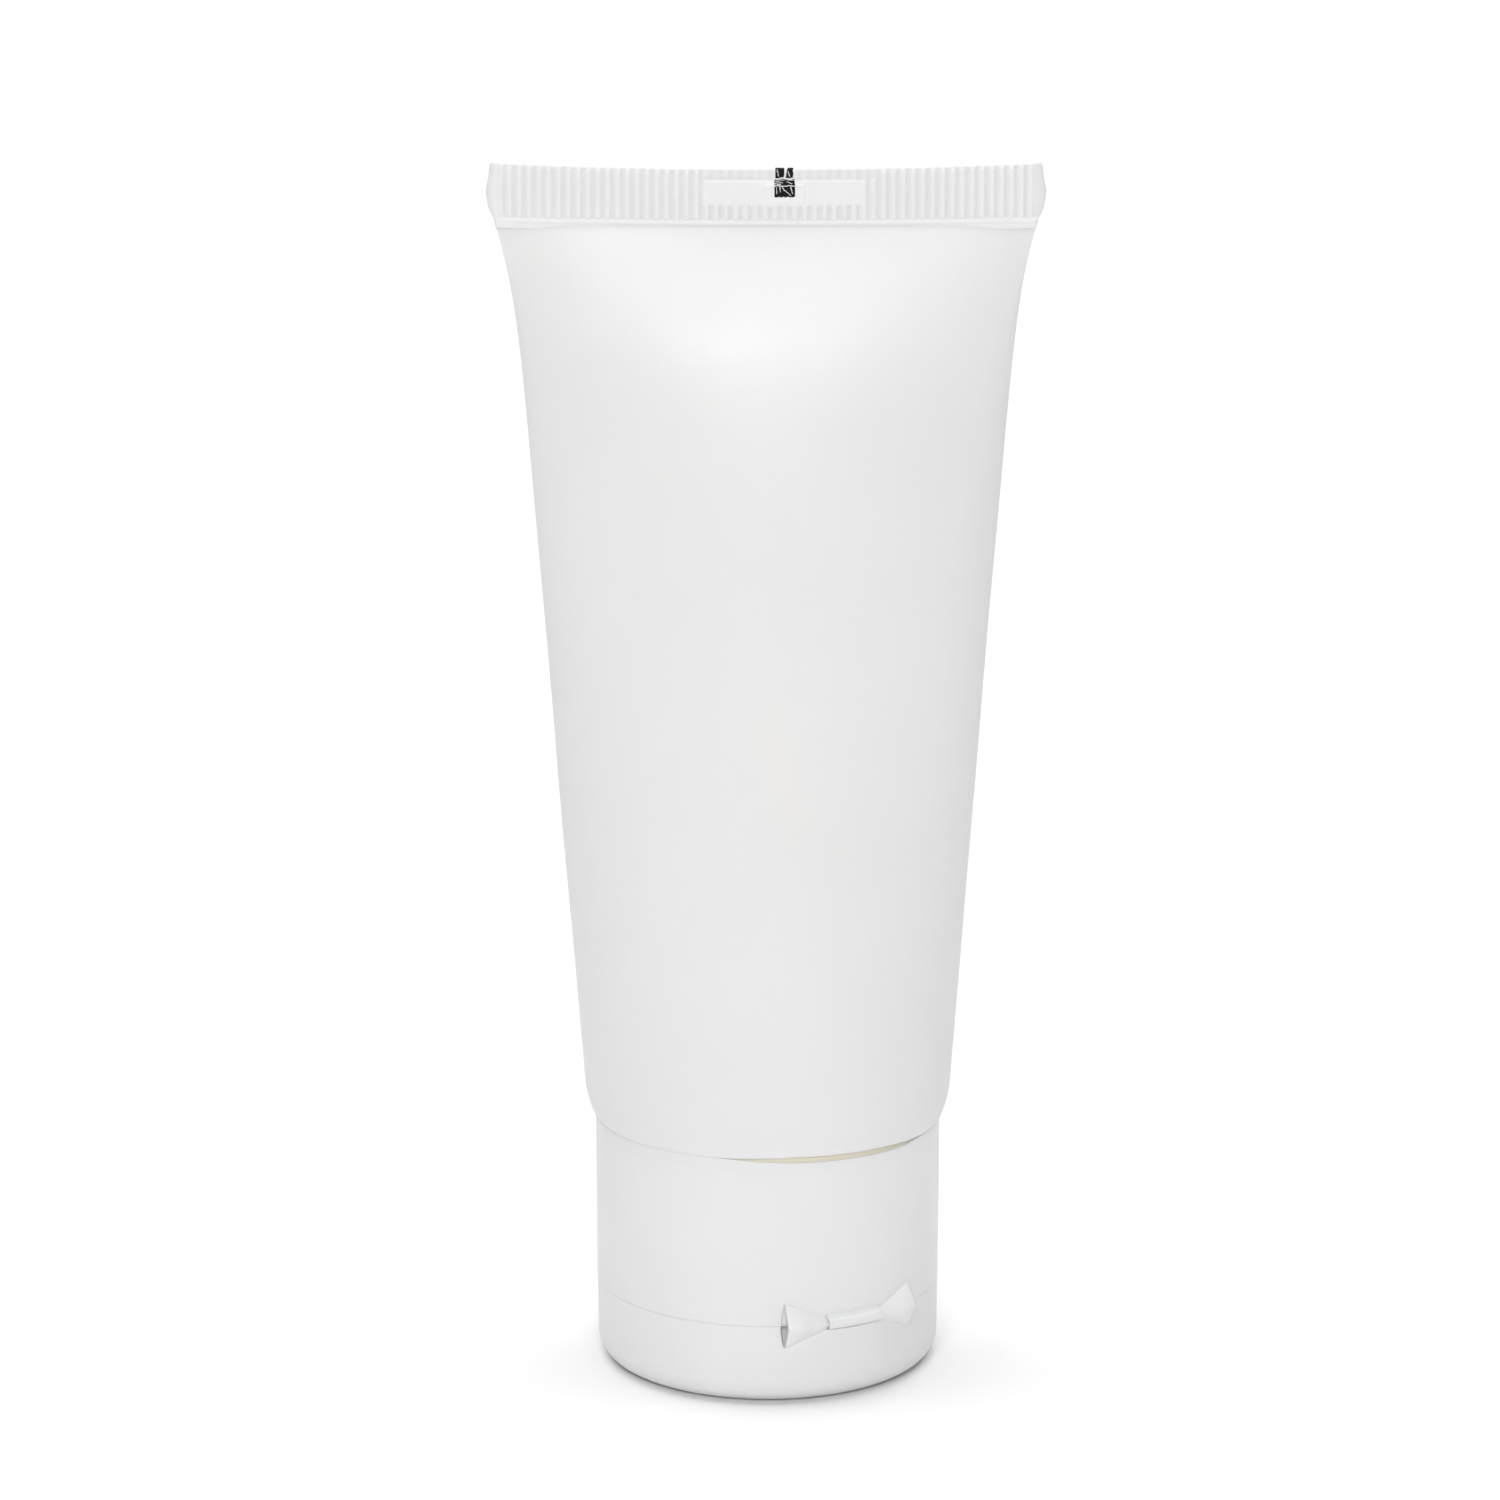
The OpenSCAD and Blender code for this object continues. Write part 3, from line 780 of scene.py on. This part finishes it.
def make_wing(name, side):
    """Thin folded panel from the base to the lid, open at its outer end."""
    ws = [math.sin(a) for a in spread(math.pi / 2, -math.pi / 2, 36)]
    rows = []
    for share in spread(0, 1, 44):
        outer = [wing_surface(share, w) for w in ws]
        inner = [(v, out - WING_T * (1 - abs(w) ** 6) - 0.02, h) for w, (v, out, h) in zip(ws, outer)]
        rows.append([hinge_point(side * v, out, h) for v, out, h in outer + inner[::-1]])
    if side < 0:
        rows.reverse()
    width = len(rows[0])
    points = [p for row in rows for p in row]
    faces = row_faces(len(rows), width, True)
    half = width // 2
    for last in (0, (len(rows) - 1) * width):
        for i in range(half - 1):
            cap = (last + i, last + i + 1, last + width - 2 - i, last + width - 1 - i)
            faces.append(cap if last else cap[::-1])
    return build(name, points, faces, CLOSURE)


# ---- Flange between the closure and the sleeve ----

SETBACK = 0.25
FLANGE_INNER_R = 15.5


def flange_material():
    """White where it is flush with the closure's wall, and warmer where it is set back in the joint."""
    material, nodes, links, shader = new_material("flange_plastic")
    coords = nodes.new("ShaderNodeTexCoord").outputs["Object"]
    level = nodes.new("ShaderNodeVectorMath")
    level.operation = "MULTIPLY"
    level.inputs[1].default_value = (1, 1, 0)
    links.new(coords, level.inputs[0])
    radius = nodes.new("ShaderNodeVectorMath")
    radius.operation = "LENGTH"
    links.new(level.outputs["Vector"], radius.inputs[0])
    set_back_r = (RIM_R - SETBACK + 0.01) * MM
    flush_r = (RIM_R - 0.1) * MM
    flush = remap(nodes, links, radius.outputs["Value"], set_back_r, flush_r, 0, 1)
    clouds = noise_node(nodes, links, coords, 200, 3)
    warm = mix_colours(nodes, links, clouds, (0.87, 0.825, 0.675), (0.85, 0.805, 0.655))
    links.new(mix_colours(nodes, links, flush, warm, CLOSURE_WHITE), shader.inputs["Base Color"])
    shader.inputs["Roughness"].default_value = 0.4
    links.new(bump(nodes, links, clouds, 0.01 * MM, 0.5), shader.inputs["Normal"])
    return material


def make_flange():
    """Rim of the tube's head: flush with the closure's wall, and set back above the joint's edge."""
    rows = []
    foot = CAP_TOP_Z + 0.003
    for a in [2 * math.pi * i / 360 for i in range(360)]:
        azimuth = math.atan2(math.sin(a), math.cos(a))
        joint = edge_height(azimuth, JOINT_KNOTS)
        top = max(joint, edge_height(azimuth, EDGE_KNOTS)) + 0.06
        r = RIM_R
        section = [(FLANGE_INNER_R, foot), (r - 0.003, foot), (r, foot + 0.003), (r, foot + 0.03)]
        section += [(r, joint - 0.05), (r - 0.015, joint - 0.015)]
        section += [(r - 0.05, joint), (r - SETBACK, joint), (r - SETBACK, top), (FLANGE_INNER_R, top)]
        rows.append([(q * math.sin(a), -q * math.cos(a), z) for q, z in section])
    rows.append(rows[0])
    return skin("head_flange", [row[::-1] for row in rows], flange_material())


# ---- Build and attach ----

sleeve = make_sleeve()
crimp = make_crimp()
mark = make_mark()
cream = make_cream()
tube_pieces = (
    (sleeve, "tube_sleeve"),
    (crimp, "end_seal"),
    (mark, "registration_mark"),
    (cream, "cream_fill"),
)
for piece, node in tube_pieces:
    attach(piece, "tube")
    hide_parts(node)
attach(make_flange(), "tube")

round_angles = closure_angles()
base = lathe("closure_base", base_profile(), CLOSURE, round_angles, base_wall)
spout = lathe("nozzle_spout", nozzle_profile(), CLOSURE)
strap = make_strap()
for piece, node in ((base, "cap_base"), (spout, "nozzle"), (strap, "hinge_strap")):
    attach(piece, "cap_base")
    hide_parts(node)

cup = lathe("lid_cup", lid_profile(), CLOSURE, round_angles, lid_wall)
pin = lathe("plug_pin", plug_profile(), CLOSURE)
lip = make_thumb_tab()
for piece, node in ((cup, "lid"), (pin, "sealing_plug"), (lip, "thumb_tab")):
    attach(piece, "lid")
    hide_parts(node)

for side, name in ((-1, "left"), (1, "right")):
    wing = make_wing("wing_" + name, side)
    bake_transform(wing)
    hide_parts("hinge_wing_" + name)

# The shoulder keeps its CAD shape and only gets a material.
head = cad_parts["tube_shoulder"].data
head.materials.clear()
head.materials.append(HEAD)


# ---- Floor, light and camera ----

def floor_material():
    material, nodes, links, shader = new_material("studio_floor")
    coords = nodes.new("ShaderNodeTexCoord").outputs["Object"]
    clouds = noise_node(nodes, links, coords, 3, 2)
    greys = mix_colours(nodes, links, clouds, (0.87, 0.87, 0.87), (0.89, 0.89, 0.89))
    links.new(greys, shader.inputs["Base Color"])
    shader.inputs["Roughness"].default_value = 0.8
    return material


def make_floor():
    half = 4000
    corners = [(-half, -half, 0), (half, -half, 0), (half, half, 0), (-half, half, 0)]
    return build("floor", corners, [(0, 1, 2, 3)], floor_material())


def area_light(name, place, target, size, watts):
    """Rectangular light at place that faces target. Lengths are in metres."""
    data = bpy.data.lights.new(name, "AREA")
    data.shape = "RECTANGLE"
    data.size, data.size_y = size
    data.energy = watts
    light = bpy.data.objects.new(name, data)
    light.location = place
    light.rotation_euler = (Vector(target) - Vector(place)).to_track_quat("-Z", "Y").to_euler()
    bpy.context.scene.collection.objects.link(light)


def set_world(strength):
    world = bpy.data.worlds.new("studio")
    world.use_nodes = True
    background = world.node_tree.nodes["Background"]
    background.inputs["Color"].default_value = (1, 1, 1, 1)
    background.inputs["Strength"].default_value = strength
    bpy.context.scene.world = world


CAMERA_AWAY = 1.2
CAMERA_HEIGHT = 0.427755
CAMERA_PITCH_DOWN = 0.296
CAMERA_YAW = 0.001444
CAMERA_LENS_MM = 309.6


def make_camera():
    """Long lens in front of the tube, looking a little down. Distances are in metres, angles in radians."""
    data = bpy.data.cameras.new("camera")
    data.sensor_width = 36
    data.lens = CAMERA_LENS_MM
    data.clip_end = 20
    camera = bpy.data.objects.new("camera", data)
    camera.location = (0, -CAMERA_AWAY, CAMERA_HEIGHT)
    camera.rotation_euler = (math.pi / 2 - CAMERA_PITCH_DOWN, 0, CAMERA_YAW)
    bpy.context.scene.collection.objects.link(camera)
    bpy.context.scene.camera = camera


make_floor()
set_world(0.14)
area_light("overhead", (-0.05, 0.3, 1.4), (-0.05, 0.3, 0), (2.3, 1.4), 31)
area_light("front", (-0.06, -1.5, 0.9), (0, 0, 0.06), (0.7, 0.7), 15)
make_camera()
bpy.context.scene.view_settings.view_transform = "Standard"
